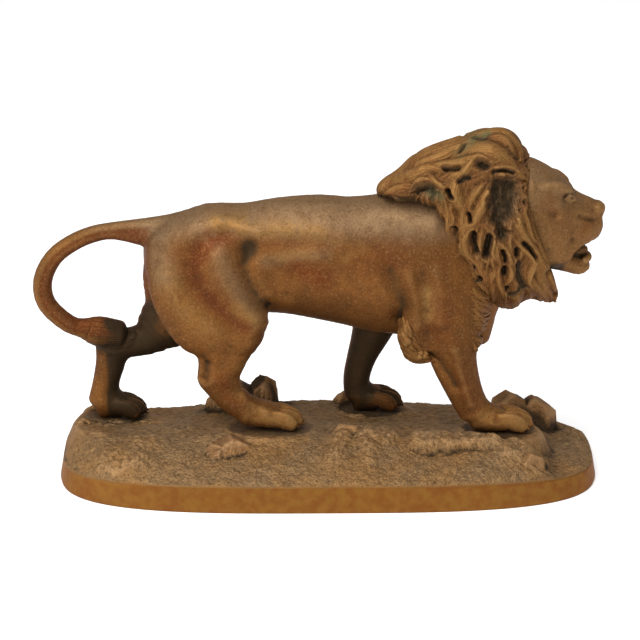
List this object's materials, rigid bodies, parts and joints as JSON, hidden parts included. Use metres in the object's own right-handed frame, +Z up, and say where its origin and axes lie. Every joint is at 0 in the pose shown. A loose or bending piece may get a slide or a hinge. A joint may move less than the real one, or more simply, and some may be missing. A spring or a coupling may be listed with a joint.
{
  "type": "bronze lion sculpture",
  "caption": "Walking lion with open jaw, thick mane and curled tail, standing on a rocky rounded base, cast in bronze.",
  "frame": {"origin": "centre of the base's flat underside", "axes": "+X towards the lion's head, +Y towards its left side, +Z up"},
  "size_m": [0.2028, 0.0918, 0.1263],
  "materials": {
    "lion_bronze": "dull golden brown patina, darker in the hollows",
    "base_bronze": "hatched brown patina over a smooth orange-brown foot band"
  },
  "bodies": {
    "root": {"lion": "lion_bronze", "rocky_base": "base_bronze"}
  },
  "joints": []
}
